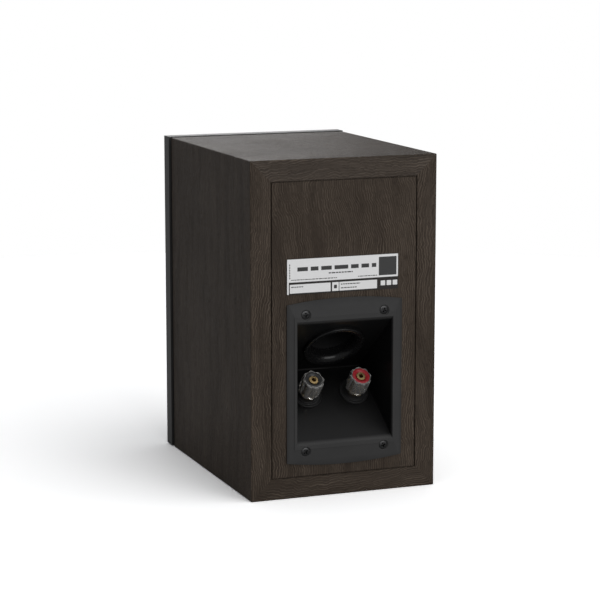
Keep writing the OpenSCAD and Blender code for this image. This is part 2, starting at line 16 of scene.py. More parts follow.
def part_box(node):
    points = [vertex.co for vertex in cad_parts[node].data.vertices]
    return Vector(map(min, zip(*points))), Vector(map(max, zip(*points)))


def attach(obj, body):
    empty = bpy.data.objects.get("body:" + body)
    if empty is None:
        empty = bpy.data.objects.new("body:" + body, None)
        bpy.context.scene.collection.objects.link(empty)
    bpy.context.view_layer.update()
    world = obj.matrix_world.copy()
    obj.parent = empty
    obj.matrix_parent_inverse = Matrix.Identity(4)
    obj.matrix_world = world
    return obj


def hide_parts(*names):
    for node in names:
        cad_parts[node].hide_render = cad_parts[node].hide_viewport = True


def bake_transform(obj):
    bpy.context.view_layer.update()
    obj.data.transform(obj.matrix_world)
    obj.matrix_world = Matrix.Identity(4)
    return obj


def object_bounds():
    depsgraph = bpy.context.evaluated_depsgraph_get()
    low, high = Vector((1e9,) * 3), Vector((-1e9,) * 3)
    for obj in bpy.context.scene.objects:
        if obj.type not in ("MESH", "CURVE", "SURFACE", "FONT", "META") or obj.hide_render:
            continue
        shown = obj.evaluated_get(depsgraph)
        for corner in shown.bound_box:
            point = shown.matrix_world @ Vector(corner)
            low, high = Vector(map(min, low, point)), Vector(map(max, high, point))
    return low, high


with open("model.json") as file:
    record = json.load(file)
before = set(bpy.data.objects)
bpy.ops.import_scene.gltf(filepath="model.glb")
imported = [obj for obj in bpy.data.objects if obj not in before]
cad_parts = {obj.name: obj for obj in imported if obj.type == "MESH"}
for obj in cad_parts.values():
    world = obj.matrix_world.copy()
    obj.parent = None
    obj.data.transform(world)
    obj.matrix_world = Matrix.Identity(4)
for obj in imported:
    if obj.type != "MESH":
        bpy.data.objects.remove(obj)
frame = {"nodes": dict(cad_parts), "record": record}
cad_low, cad_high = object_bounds()


def mm(value):
    """Millimetres to metres, for a number or for each number of a list."""
    if isinstance(value, (int, float)):
        return value / 1000
    return [v / 1000 for v in value]


# ---------------------------------------------------------------- driving sizes, from the frame

MOUNTS = {m["name"]: m for m in frame["record"]["mounts"]}
CAB_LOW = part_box("side_panel_right")[0] * 1000
CAB_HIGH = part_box("side_panel_left")[1] * 1000
HALF_W, CAB_H = CAB_HIGH.x, CAB_HIGH.z
WALL = 18.0  # thickness of a cabinet board
Y_SHELL, Y_REAR, Y_RIM = CAB_LOW.y, CAB_HIGH.y, cad_high.y * 1000
Y_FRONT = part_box("front_baffle")[0].y * 1000
WOOFER_Z = sum(p.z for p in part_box("woofer_trim")) * 500
TWEETER_Z = sum(p.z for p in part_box("tweeter_faceplate")) * 500
OPEN_TOP = 153.7  # top edge of the terminal plate's opening
UPPER_SLOPE = math.radians(44)  # of the facet that holds the port, from level
PORT_DEPTH = 28.0  # of the port's middle, in from the plate's rim
PLATE_PROUD = 1.9  # the plate's rim, out from the rear panel
PLATE_SCREW_R = 3.7
TWEETER_SCREWS = 43.5  # radius of the circle they stand on
NUT_BASE = 6.7  # foot of a binding post's nut, above its facet
FLOOR_RADIUS = 1.3  # metres
SOCKET_UP = 17.8  # from the facet to the point that a banana socket's mount names, along the post


# ---------------------------------------------------------------- camera, floor and light

def make_camera():
    """Behind the speaker, a little above it and off to the +X side. Places are metres."""
    cam = bpy.data.objects.new("camera", bpy.data.cameras.new("camera"))
    bpy.context.scene.collection.objects.link(cam)
    azimuth, pitch = math.radians(159.01), math.radians(9.84)
    cam.location = (0.6907, 1.8104, 0.4872)
    level = math.cos(pitch)
    forward = Vector((-math.sin(azimuth) * level, math.cos(azimuth) * level, -math.sin(pitch)))
    cam.rotation_mode = "QUATERNION"
    cam.rotation_quaternion = forward.to_track_quat("-Z", "Y")
    cam.data.sensor_width = 36
    cam.data.lens = 130.7
    bpy.context.scene.camera = cam


def area_light(name, place, aim, size, watts):
    lamp = bpy.data.lights.new(name, "AREA")
    lamp.shape = "RECTANGLE"
    lamp.size, lamp.size_y = size
    lamp.energy = watts
    obj = bpy.data.objects.new(name, lamp)
    obj.location = place
    obj.rotation_mode = "QUATERNION"
    obj.rotation_quaternion = (Vector(aim) - Vector(place)).to_track_quat("-Z", "Y")
    bpy.context.scene.collection.objects.link(obj)


def make_studio():
    """A soft sun, three panels, a dim room for the reflections, and white behind the object. Places are metres."""
    sun = bpy.data.lights.new("sun", "SUN")
    sun.energy = 0.3
    sun.angle = math.radians(50)
    obj = bpy.data.objects.new("sun", sun)
    obj.rotation_mode = "QUATERNION"
    obj.rotation_quaternion = Vector((0.42, -0.42, -0.8)).to_track_quat("-Z", "Y")
    bpy.context.scene.collection.objects.link(obj)
    area_light("back", (-0.9, 4.1, 1.0), (0, 0, 0.15), (3.4, 1.7), 54)
    area_light("above", (-0.4, 0.7, 2.6), (0, 0.1, 0.15), (3.0, 3.0), 22)
    area_light("front", (-0.2, -2.3, 0.72), (0, 0, 0.25), (1.5, 0.7), 5.6)
    world = bpy.data.worlds.new("studio")
    world.use_nodes = True
    tree = world.node_tree
    tree.nodes.clear()
    path = tree.nodes.new("ShaderNodeLightPath")
    room = tree.nodes.new("ShaderNodeBackground")
    room.inputs[0].default_value = (0.97, 0.98, 1.0, 1)
    room.inputs[1].default_value = 0.25
    paper = tree.nodes.new("ShaderNodeBackground")
    paper.inputs[0].default_value = (1, 1, 1, 1)
    mix = tree.nodes.new("ShaderNodeMixShader")
    out = tree.nodes.new("ShaderNodeOutputWorld")
    tree.links.new(path.outputs["Is Camera Ray"], mix.inputs[0])
    tree.links.new(room.outputs[0], mix.inputs[1])
    tree.links.new(paper.outputs[0], mix.inputs[2])
    tree.links.new(mix.outputs[0], out.inputs[0])
    bpy.context.scene.world = world
    bpy.context.scene.view_settings.view_transform = "Standard"


# ---------------------------------------------------------------- material nodes

class Paint:
    """A node material under construction: add() makes a node, and sets or links its inputs."""

    def __init__(self, name):
        self.material = bpy.data.materials.new(name)
        self.material.use_nodes = True
        self.tree = self.material.node_tree
        self.tree.nodes.clear()
        self.out = self.tree.nodes.new("ShaderNodeOutputMaterial")
        self.shader = self.tree.nodes.new("ShaderNodeBsdfPrincipled")
        self.tree.links.new(self.shader.outputs[0], self.out.inputs[0])
        self.where = self.tree.nodes.new("ShaderNodeTexCoord").outputs["Object"]

    def set(self, node, key, value):
        socket = node.inputs[key]
        if isinstance(value, bpy.types.NodeSocket):
            self.tree.links.new(value, socket)
        else:
            socket.default_value = value

    def add(self, kind, settings=(), **inputs):
        node = self.tree.nodes.new(kind)
        for key, value in dict(settings).items():
            setattr(node, key, value)
        for key, value in inputs.items():
            self.set(node, key.replace("_", " "), value)
        return node

    def surface(self, **inputs):
        for key, value in inputs.items():
            self.set(self.shader, key.replace("_", " "), value)

    def vector(self, operation, *values):
        node = self.add("ShaderNodeVectorMath", {"operation": operation})
        for key, value in enumerate(values):
            self.set(node, key, value)
        return node.outputs["Value" if operation == "DOT_PRODUCT" else "Vector"]

    def stretched(self, scale, where=None):
        """The object's coordinates in metres, times a scale for each axis."""
        return self.vector("MULTIPLY", where or self.where, scale)

    def noise(self, scale, where=None, detail=3.0, roughness=0.55, output="Fac"):
        node = self.add("ShaderNodeTexNoise", Scale=scale, Detail=detail, Roughness=roughness)
        self.set(node, "Vector", where or self.where)
        return node.outputs[output]

    def ramp(self, factor, *stops):
        """A colour ramp of (position, grey or colour) stops."""
        node = self.add("ShaderNodeValToRGB", Fac=factor)
        elements = node.color_ramp.elements
        while len(elements) < len(stops):
            elements.new(0.5)
        for element, (position, value) in zip(elements, stops):
            element.position = position
            element.color = (value, value, value, 1) if isinstance(value, float) else (*value, 1)
        return node.outputs[0]

    def span(self, factor, low, high, start=0.0, end=1.0):
        """From low to high, while the factor goes from start to end."""
        node = self.add("ShaderNodeMapRange", From_Min=start, From_Max=end, To_Min=low, To_Max=high)
        self.set(node, "Value", factor)
        return node.outputs[0]

    def math(self, operation, a, b):
        node = self.add("ShaderNodeMath", {"operation": operation})
        self.set(node, 0, a)
        self.set(node, 1, b)
        return node.outputs[0]

    def mix(self, factor, a, b, blend="MIX"):
        node = self.add("ShaderNodeMix", {"data_type": "RGBA", "blend_type": blend})
        self.set(node, 0, factor)
        self.set(node, 6, a if isinstance(a, bpy.types.NodeSocket) else (*a, 1))
        self.set(node, 7, b if isinstance(b, bpy.types.NodeSocket) else (*b, 1))
        return node.outputs[2]

    def bump(self, height, depth, strength, below=None):
        node = self.add("ShaderNodeBump", Strength=strength, Distance=depth)
        self.set(node, "Height", height)
        if below is not None:
            self.set(node, "Normal", below)
        return node.outputs[0]


def dark_oak(name, along, shift, gloss=0.14):
    """Dark stained oak wrap. along is the grain's axis, 0 to 2; shift moves the figure from board to board."""
    p = Paint(name)

    def along_grain(value, others):
        scale = [others, others, others]
        scale[along] = value
        return scale

    moved = p.vector("ADD", p.where, shift)
    place = moved
    for spread, reach in (((5.0,) * 3, 0.05), ((26.0,) * 3, 0.008), (along_grain(150.0, 55.0), 0.003)):
        wander = p.noise(1.0, p.stretched(spread, moved), 1.0, 0.4, "Color")
        centred = p.vector("SUBTRACT", wander, (0.5, 0.5, 0.5))
        place = p.vector("MULTIPLY_ADD", centred, (reach, reach, reach), place)
    level = p.vector("DOT_PRODUCT", place, along_grain(0.0, 1.0))
    grain = p.stretched(along_grain(0.09, 1.0), place)
    figure = p.noise(80.0, grain, 3.0, 0.55)
    loose = p.math("MULTIPLY", p.noise(190.0, grain, 2.0), 9.0)
    lines = p.math("ADD", p.math("MULTIPLY", level, 2900.0), loose)
    ridge = p.ramp(p.span(p.math("SINE", lines, 0.0), 0.5, 1.0), (0.55, 0.0), (0.95, 1.0))
    ridge = p.math("MULTIPLY", ridge, p.ramp(p.noise(120.0, grain, 2.0), (0.36, 0.15), (0.58, 1.0)))
    ridge = p.math("MULTIPLY", ridge, p.ramp(p.noise(16.0, place, 2.0), (0.38, 0.45), (0.6, 1.0)))
    pores = p.noise(1500.0, p.stretched(along_grain(0.03, 1.0), place), 2.0, 0.6)
    clouds = p.noise(11.0, moved, 2.0, 0.5)
    dark, middle, light = (0.042, 0.0295, 0.0205), (0.055, 0.04, 0.0285), (0.068, 0.0505, 0.0372)
    band = p.ramp(figure, (0.36, dark), (0.5, middle), (0.66, light))
    pore = p.ramp(pores, (0.38, 0.35), (0.52, 1.0))
    colour = p.mix(p.math("MULTIPLY", ridge, 0.62), band, (0.175, 0.136, 0.104))
    colour = p.mix(0.5, colour, pore, "MULTIPLY")
    colour = p.mix(p.span(clouds, 0.0, 0.35), colour, (0.05, 0.0375, 0.0285))
    relief = p.bump(ridge, 0.00022, 0.6)
    relief = p.bump(pore, 0.00018, 0.8, relief)
    rough = p.math("ADD", p.span(clouds, 0.38, 0.48), p.span(pore, 0.12, 0.0))
    p.surface(Base_Color=colour, Roughness=rough, Normal=relief, Specular_IOR_Level=gloss)
    return p.material


def moulded_plastic(name, tone, roughness, grain=0.00006, scale=2600.0):
    """Black injection moulding: a fine spark-eroded skin, with slight changes of gloss."""
    p = Paint(name)
    skin = p.noise(scale, None, 3.0, 0.6)
    patches = p.noise(40.0, None, 3.0)
    dust = p.ramp(p.noise(900.0, None, 2.0), (0.62, 0.0), (0.72, 1.0))
    colour = p.mix(p.span(patches, 0.0, 0.35), tone, [c * 1.35 for c in tone])
    colour = p.mix(p.math("MULTIPLY", dust, 0.05), colour, (0.35, 0.34, 0.32))
    rough = p.math("ADD", p.span(patches, roughness - 0.06, roughness + 0.06), p.math("MULTIPLY", dust, 0.15))
    p.surface(Base_Color=colour, Roughness=rough, Normal=p.bump(skin, grain, 0.7), Specular_IOR_Level=0.3)
    return p.material


def plate_plastic(name, rim, recess, y_rim):
    """The terminal plate: a grained rim round a smoother recess. The recess's darker tone is partly its own finish
    and partly painted shade, and it darkens further with depth as painted shade. y_rim is the rim's place in metres.
    """
    p = Paint(name)
    skin = p.noise(2400.0, None, 3.0, 0.6)
    patches = p.noise(36.0, None, 3.0)
    y = p.add("ShaderNodeSeparateXYZ", Vector=p.where).outputs[1]
    # the recess mask: a smoother finish, in a darker tone that is partly painted shade
    inside = p.span(y, 0.0, 1.0, y_rim - 0.0012, y_rim - 0.0034)
    # painted shade: the colour gets darker deeper into the recess, where shade falls
    depth_shade = p.span(y, 0.0, 1.0, y_rim - 0.01, y_rim - 0.045)
    shaded_recess = p.mix(depth_shade, recess, [c * 0.4 for c in recess])
    colour = p.mix(inside, rim, shaded_recess)
    colour = p.mix(p.span(patches, 0.0, 0.3), colour, [c * 1.2 for c in recess])
    rough = p.math("ADD", p.span(inside, 0.5, 0.36), p.span(patches, -0.05, 0.05))
    p.surface(Base_Color=colour, Roughness=rough, Normal=p.bump(skin, 0.00006, 0.7), Specular_IOR_Level=0.13)
    return p.material


def lacquer(name, tone, roughness):
    """Sprayed satin lacquer with a very slight orange peel."""
    p = Paint(name)
    peel = p.noise(420.0, None, 2.0, 0.5)
    haze = p.noise(14.0, None, 3.0)
    colour = p.mix(haze, tone, [c * 1.25 for c in tone])
    rough = p.span(haze, roughness - 0.05, roughness + 0.05)
    p.surface(Base_Color=colour, Roughness=rough, Normal=p.bump(peel, 0.00005, 0.5))
    return p.material


def metal(name, tone, roughness, brushed=None, dirt=0.25, metallic=1.0):
    """Plated or brushed metal. brushed is the scale of the marks on each axis."""
    p = Paint(name)
    marks = p.noise(1.0, p.stretched(brushed or (1800.0, 1800.0, 1800.0)), 3.0, 0.6)
    tarnish = p.noise(260.0, None, 4.0, 0.6)
    colour = p.mix(p.math("MULTIPLY", tarnish, dirt), tone, [c * 0.45 for c in tone])
    rough = p.span(marks, roughness * 0.7, roughness * 1.3)
    p.surface(Base_Color=colour, Roughness=rough, Normal=p.bump(marks, 0.00002, 0.5), Metallic=metallic)
    return p.material


def clear_plastic(name, tone):
    """Clear acrylic, slightly flowed and scuffed."""
    p = Paint(name)
    flow = p.noise(320.0, None, 3.0)
    scuffs = p.noise(1.0, p.stretched((2400.0, 300.0, 2400.0)), 3.0)
    colour = p.mix(flow, tone, [c * 0.8 for c in tone])
    p.surface(Base_Color=colour, Roughness=p.span(scuffs, 0.05, 0.2), Normal=p.bump(flow, 0.00006, 0.4))
    p.surface(Transmission_Weight=0.84, IOR=1.49)
    return p.material


def rubber(name, tone, roughness, grain=0.00005):
    """Matt rubber or foam with a faint bloom."""
    p = Paint(name)
    skin = p.noise(1900.0, None, 3.0)
    bloom = p.noise(35.0, None, 4.0)
    colour = p.mix(p.span(bloom, 0.0, 0.5), tone, [c * 1.6 + 0.004 for c in tone])
    rough = p.span(bloom, roughness - 0.08, roughness + 0.1)
    p.surface(Base_Color=colour, Roughness=rough, Normal=p.bump(skin, grain, 0.6))
    return p.material


def pressed_fibre(name, tone):
    """Paper, board or fleece: felted fibres, with slightly lighter hairs in it."""
    p = Paint(name)
    warp = p.add("ShaderNodeTexNoise", Scale=180.0, Detail=3.0).outputs["Color"]
    bent = p.vector("MULTIPLY_ADD", warp, (0.004, 0.004, 0.004), p.where)
    hairs = p.noise(1.0, p.stretched((900.0, 900.0, 220.0), bent), 4.0, 0.7)
    clouds = p.noise(60.0, None, 3.0)
    hair = p.ramp(hairs, (0.5, 0.0), (0.68, 1.0))
    colour = p.mix(p.math("MULTIPLY", hair, 0.55), tone, [c * 2.6 for c in tone])
    colour = p.mix(p.math("MULTIPLY", clouds, 0.3), colour, [c * 0.5 for c in tone])
    p.surface(Base_Color=colour, Roughness=p.span(clouds, 0.55, 0.75), Normal=p.bump(hairs, 0.00018, 0.7))
    return p.material


def woven(name, tone, pitch):
    """A fine coated cloth: two crossed waves make the threads. The pitch is in metres."""
    p = Paint(name)
    threads = []
    for axis in ("X", "Z"):
        kind = {"bands_direction": axis, "wave_profile": "SIN"}
        wave = p.add("ShaderNodeTexWave", kind, Scale=0.314 / pitch, Distortion=0.6, Vector=p.where)
        threads.append(wave.outputs["Fac"])
    weave = p.math("MULTIPLY", *threads)
    clouds = p.noise(120.0, None, 3.0)
    colour = p.mix(weave, [c * 0.6 for c in tone], [c * 1.5 for c in tone])
    p.surface(Base_Color=colour, Roughness=p.span(clouds, 0.5, 0.7), Normal=p.bump(weave, 0.00012, 0.8))
    return p.material


def floor_material():
    """White paper for the eye, and a greyer floor for the light that bounces off it."""
    p = Paint("floor_paint")
    seen = p.add("ShaderNodeBsdfDiffuse", Color=(1.9, 1.9, 1.9, 1))
    dull = p.add("ShaderNodeBsdfDiffuse", Color=(0.48, 0.48, 0.48, 1))
    path = p.add("ShaderNodeLightPath")
    mix = p.add("ShaderNodeMixShader")
    for key, value in enumerate((path.outputs["Is Camera Ray"], dull.outputs[0], seen.outputs[0])):
        p.set(mix, key, value)
    p.set(p.out, 0, mix.outputs[0])
    return p.material


# ---------------------------------------------------------------- mesh helpers

def link(name, mesh):
    obj = bpy.data.objects.new(name, mesh)
    bpy.context.scene.collection.objects.link(obj)
    return obj


def smooth(mesh, degrees=32):
    """Smooth shading, except across edges sharper than this."""
    mesh.shade_smooth()
    mesh.set_sharp_from_angle(angle=math.radians(degrees))


def finished(piece, body, material, *nodes, slot):
    """Gives a piece its material and its body, and hides the CAD nodes that it stands for. slot is not used."""
    piece.data.materials.clear()
    piece.data.materials.append(material)
    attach(piece, body)
    if nodes:
        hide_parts(*nodes)


def mesh_of(name, verts, faces):
    """A mesh with double points merged and its faces turned outwards."""
    mesh = bpy.data.meshes.new(name)
    mesh.from_pydata(verts, [], faces)
    bm = bmesh.new()
    bm.from_mesh(mesh)
    bmesh.ops.remove_doubles(bm, verts=bm.verts, dist=1e-7)
    bmesh.ops.recalc_face_normals(bm, faces=bm.faces)
    bm.to_mesh(mesh)
    bm.free()
    return mesh


def baked(piece):
    """The piece's mesh with its modifiers applied, in place of the old one."""
    graph = bpy.context.evaluated_depsgraph_get()
    mesh = bpy.data.meshes.new_from_object(piece.evaluated_get(graph))
    piece.modifiers.clear()
    piece.data = mesh
    return piece


def rounded(points, radius, steps):
    """A closed outline with each corner turned into an arc. radius is one number, or one for each corner."""
    out = []
    count = len(points)
    for i, here in enumerate(points):
        want = radius[i] if isinstance(radius, (list, tuple)) else radius
        here = Vector(here)
        to_a, to_b = Vector(points[i - 1]) - here, Vector(points[(i + 1) % count]) - here
        half = to_a.angle(to_b) / 2 if to_a.length and to_b.length else math.pi / 2
        if want <= 0 or half > math.radians(86):
            out.append(tuple(here))
            continue
        cut = min(want / math.tan(half), 0.48 * to_a.length, 0.48 * to_b.length)
        real = cut * math.tan(half)
        centre = here + (to_a.normalized() + to_b.normalized()).normalized() * (real / math.sin(half))
        start = here + to_a.normalized() * cut - centre
        end = here + to_b.normalized() * cut - centre
        turn = start.angle_signed(end)
        for k in range(steps + 1):
            a = -turn * k / steps
            out.append((
                centre.x + start.x * math.cos(a) - start.y * math.sin(a),
                centre.y + start.x * math.sin(a) + start.y * math.cos(a),
            ))
    return out


def arc(start, end, steps):
    """Angles in radians, from start to end in degrees."""
    return [math.radians(start + (end - start) * k / steps) for k in range(steps + 1)]


def circle(r, z, steps=128):
    """A ring of (x, y, z) points."""
    return [(r * math.cos(math.tau * k / steps), r * math.sin(math.tau * k / steps), z) for k in range(steps)]


def lathe(name, profile, place, steps, start=0.0, sweep=math.tau):
    """A closed profile in mm, turned round local Z and placed by a matrix in metres."""
    rings = steps if sweep == math.tau else steps + 1
    verts = []
    for i in range(rings):
        a = start + sweep * i / steps
        verts += [place @ Vector(mm((r * math.cos(a), r * math.sin(a), z))) for r, z in profile]
    n = len(profile)
    faces = []
    for i in range(steps):
        j = (i + 1) % rings
        for k in range(n):
            m = (k + 1) % n
            faces.append((i * n + k, j * n + k, j * n + m, i * n + m))
    if rings > steps:
        faces += [tuple(range(n)), tuple(range(steps * n + n - 1, steps * n - 1, -1))]
    mesh = mesh_of(name, verts, faces)
    smooth(mesh)
    return link(name, mesh)


def stacked(name, rings, place, capped=True):
    """A solid through rings of (x, y, z) points in mm, all with the same count."""
    verts = [place @ Vector(mm(p)) for ring in rings for p in ring]
    n = len(rings[0])
    faces = [
        (i * n + k, i * n + (k + 1) % n, (i + 1) * n + (k + 1) % n, (i + 1) * n + k)
        for i in range(len(rings) - 1)
        for k in range(n)
    ]
    if capped:
        faces += [tuple(range(n - 1, -1, -1)), tuple(range((len(rings) - 1) * n, len(rings) * n))]
    mesh = mesh_of(name, verts, faces)
    smooth(mesh)
    return link(name, mesh)


def simplified(node, degrees):
    """A copy of a CAD node's mesh, and its bmesh with the flat faces merged."""
    mesh = frame["nodes"][node].data.copy()
    bm = bmesh.new()
    bm.from_mesh(mesh)
    bmesh.ops.remove_doubles(bm, verts=bm.verts, dist=1e-6)
    bmesh.ops.dissolve_limit(bm, angle_limit=math.radians(degrees), verts=bm.verts, edges=bm.edges)
    return mesh, bm


def softened(node, width, segments=2, angle=30):
    """A copy of a CAD node whose sharp edges are rounded."""
    mesh, bm = simplified(node, 0.4)
    bm.to_mesh(mesh)
    bm.free()
    piece = link(node + "_finish", mesh)
    bevel = piece.modifiers.new("edges", "BEVEL")
    bevel.width = mm(width)
    bevel.segments = segments
    bevel.limit_method = "ANGLE"
    bevel.angle_limit = math.radians(angle)
    baked(piece)
    smooth(piece.data, 35)
    return evened(piece)


def evened(piece):
    """Normals weighted by face area, so that a large flat face stays flat beside its rounded edges."""
    even = piece.modifiers.new("even", "WEIGHTED_NORMAL")
    even.weight = 100
    even.keep_sharp = True
    return baked(piece)


def joined(name, parts):
    """Several meshes as one piece."""
    bm = bmesh.new()
    for part in parts:
        bm.from_mesh(part.data)
        bpy.data.objects.remove(part)
    mesh = bpy.data.meshes.new(name)
    bm.to_mesh(mesh)
    bm.free()
    smooth(mesh)
    return link(name, mesh)


def facing(origin, z_axis):
    """A matrix in metres whose Z is z_axis and whose X is near the frame's. The origin is in mm."""
    z, sideways = Vector(z_axis).normalized(), Vector((1, 0, 0))
    x = (sideways - z * sideways.dot(z)).normalized()
    y = z.cross(x)
    turn = Matrix((x, y, z)).transposed().to_4x4()
    return Matrix.Translation(mm(origin)) @ turn


FLAT = Matrix.Identity(4)
AT_WOOFER = facing((0, Y_FRONT, WOOFER_Z), (0, -1, 0))
AT_TWEETER = facing((0, Y_FRONT, TWEETER_Z), (0, -1, 0))
AT_PORT = facing(
    (0, Y_RIM - PORT_DEPTH, OPEN_TOP - PORT_DEPTH * math.tan(UPPER_SLOPE)),
    (0, -math.sin(UPPER_SLOPE), math.cos(UPPER_SLOPE)),
)


def at_post(colour):
    """The matrix of a binding post: Z along the post, and zero on its facet."""
    mount = MOUNTS[colour + "_banana_socket"]
    axis = Vector(mount["axis"]).normalized()
    return facing((Vector(mount["pos_m"]) * 1000) - axis * SOCKET_UP, axis)


# ---------------------------------------------------------------- cabinet

def board_ring(side, inset, upright):
    """Half of the cabinet's outline that belongs to one board: its outer face runs between two mitres."""
    corner = 0.9
    r = corner - inset
    half_w, half_h = HALF_W, CAB_H / 2
    turn = arc(45, 0, 4)
    if upright:
        low = [(half_w - corner + r * math.cos(a), -(half_h - corner + r * math.sin(a))) for a in turn]
        high = [(x, -z) for x, z in reversed(low)]
        inner = [(half_w - WALL, half_h - WALL), (half_w - WALL, WALL - half_h)]
    else:
        low = [(-(half_w - corner + r * math.sin(a)), half_h - corner + r * math.cos(a)) for a in turn]
        high = [(-x, z) for x, z in reversed(low)]
        inner = [(half_w - WALL, half_h - WALL), (WALL - half_w, half_h - WALL)]
    flat = low + high + inner
    if upright:
        return [(side * x, half_h + z) for x, z in flat]
    return [(x, half_h + side * z) for x, z in flat]


def make_board(node, side, upright, grain_axis, shift, gloss=0.14):
    """One wrapped board, with its long edges mitred and its ends softly rounded."""
    edge = 0.7
    rings = []
    for a in arc(90, 0, 4):
        ring = board_ring(side, edge * (1 - math.cos(a)), upright)
        rings.append([(x, Y_SHELL + edge * (1 - math.sin(a)), z) for x, z in ring])
    for a in arc(0, 90, 4):
        ring = board_ring(side, edge * (1 - math.cos(a)), upright)
        rings.append([(x, Y_REAR - edge * (1 - math.sin(a)), z) for x, z in ring])
    piece = stacked(node + "_wrap", rings, FLAT)
    smooth(piece.data, 40)
    finish = dark_oak("oak_" + node, grain_axis, shift, gloss)
    finished(evened(piece), "cabinet", finish, node, slot="oak_wrap")


def make_cabinet():
    make_board("side_panel_left", 1, True, 2, (0.0, 0.3, 0.1))
    make_board("side_panel_right", -1, True, 2, (0.4, 0.1, 0.7))
    make_board("top_panel", 1, False, 0, (0.1, 0.6, 0.2), gloss=0.22)
    make_board("bottom_panel", -1, False, 0, (0.7, 0.2, 0.5))
    panel = softened("rear_panel", 0.35)
    finished(panel, "cabinet", dark_oak("oak_rear_panel", 2, (0.9, 0.4, 0.35)), "rear_panel", slot="oak_wrap")
    black = lacquer("baffle_lacquer", (0.03, 0.03, 0.0292), 0.38)
    baffle = softened("front_baffle", 0.9, 3, angle=60)
    finished(baffle, "cabinet", black, "front_baffle", slot="baffle_lacquer")


# ---------------------------------------------------------------- terminal plate, port and label

def plate_screw_spots():
    low, high = (p * 1000 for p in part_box("plate_screws"))
    columns, rows = (low.x + PLATE_SCREW_R, high.x - PLATE_SCREW_R), (low.z + PLATE_SCREW_R, high.z - PLATE_SCREW_R)
    return [(x, Y_REAR + PLATE_PROUD, z) for x in columns for z in rows]


def make_terminal_plate():
    """The plate, with a shallow seat round each screw."""
    plate = softened("terminal_plate", 0.45, 2, angle=12)
    for spot in plate_screw_spots():
        rings = [circle(PLATE_SCREW_R, -0.8, 48), circle(PLATE_SCREW_R + 0.9, 0.2, 48)]
        drilled(plate, stacked("seat", rings, facing(spot, (0, 1, 0))))
    finished(plate, "cabinet", PLATE_PLASTIC, "terminal_plate", slot="moulded_black")


def make_port():
    """The trumpet mouth, and the tube with its inner bell."""
    bore, roll, roll_z, lip = 19.5, 6.0, 2.8, 27.2
    centre = bore + roll
    top = roll_z - roll
    throat = [(centre - roll * math.sin(a), roll_z - roll * math.cos(a)) for a in arc(90, 0, 20)]
    rim = rounded([(centre + 0.2, top), (lip, top + 0.2), (lip, -0.02), (centre, -0.02)], [0, 1.1, 0.2, 0], 6)
    profile = throat + rim + [(bore + 1.95, -0.02), (bore + 1.95, 9), (bore, 9)]
    mouth = lathe("port_mouth", profile, AT_PORT, 160)
    finished(mouth, "cabinet", PORT_PLASTIC, "port_flare", slot="port_black")
    tube_end, bell = 138.0, 8.0
    tube = [(bore, 9)]
    tube += [(bore + bell * (1 - math.cos(a)), tube_end - bell * (1 - math.sin(a))) for a in arc(0, 90, 5)]
    tube += [(bore + bell + 0.2, tube_end - 1.6), (bore + 3.2, tube_end - bell - 2)]
    tube += [(bore + 2, tube_end - bell - 6), (bore + 2, 9)]
    piece = lathe("port_tube_shell", tube, AT_PORT, 96)
    finished(piece, "cabinet", BLACK_MOULDING, "port_tube", slot="moulded_black")


def slab(name, x0, x1, z0, z1, y0, y1, radius):
    """A thin plate on the rear panel, with rounded corners."""
    outline = rounded([(x0, z0), (x1, z0), (x1, z1), (x0, z1)], radius, 4)
    rings = [[(x, y, z) for x, z in outline] for y in (y0, y1)]
    return stacked(name, rings, FLAT)


def make_label():
    """The rating label: generic bars and boxes, with no lettering."""
    low, high = (p * 1000 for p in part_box("label_backing"))
    backing = slab("label_base", low.x, high.x, low.z, high.z, low.y + 0.02, high.y, 0.8)
    finished(backing, "cabinet", LABEL_DARK, "label_backing", slot="label_film")
    field_low, field_top = low.z + 10.6, high.z - 0.3
    row_low, row_high = low.z + 1.2, low.z + 8.7
    cells = [(13.0, 50.0), (5.5, 11.6), (-29.8, 4.9)]
    areas = [(low.x + 0.3, high.x - 0.3, field_low, field_top)]
    areas += [(high.x - 1.8, high.x - 0.3, low.z + 0.3, field_low + 0.01)]
    areas += [(x0, x1, row_low, row_high) for x0, x1 in cells]
    areas += [(x - 4.2, x, row_low + 2.2, row_low + 6.4) for x in (-33.2, -38.8, -44.4)]
    foil_top, ink_top = high.y + 0.2, high.y + 0.2 + 0.04
    foil = joined("label_foil_print", [slab("cell", *area, high.y, foil_top, 0.3) for area in areas])
    finished(foil, "cabinet", LABEL_SILVER, "label_foil", slot="label_silver")
    draw = random.Random(7)
    marks = []

    def mark(x0, x1, z0, z1, radius=0.02):
        marks.append(slab("mark", x0, x1, z0, z1, foil_top, ink_top, radius))

    def dashes(x, end, z, height, widths, gap):
        while x > end:
            step = draw.choice(widths)
            mark(max(x - step, end), x, z, z + height)
            x -= step + gap

    mark(low.x + 1.7, low.x + 18.1, field_low + 1.6, field_low + 17.6, 0.1)
    dashes(high.x - 9.5, low.x + 20.5, field_low + 9.2, 3.4, (7.0, 9.5, 12.5), 2.6)
    dashes(high.x - 38.0, high.x - 60.0, field_low + 5.9, 1.0, (2.0, 3.4), 0.6)
    dashes(high.x - 4.0, high.x - 46.0, field_low + 1.6, 0.7, (1.2, 2.0, 2.6), 0.5)
    dashes(high.x - 65.0, low.x + 19.5, field_low + 1.6, 0.7, (1.2, 2.0, 2.6), 0.5)
    dashes(48.8, 38.0, row_high - 2.6, 0.8, (1.6, 2.4), 0.5)
    dashes(3.6, -14.0, row_high - 2.4, 0.8, (1.6, 2.4), 0.5)
    dashes(3.6, -11.0, row_high - 5.6, 0.8, (1.6, 2.4), 0.5)
    mark(7.2, 9.9, row_low + 2.2, row_high - 2.2, 0.4)
    for k in range(6):
        z = field_low + 3.0 + 2.2 * k
        mark(high.x - 3.0, high.x - 2.2, z, z + 1.5)
    finished(joined("label_ink", marks), "cabinet", LABEL_INK, slot="label_film")


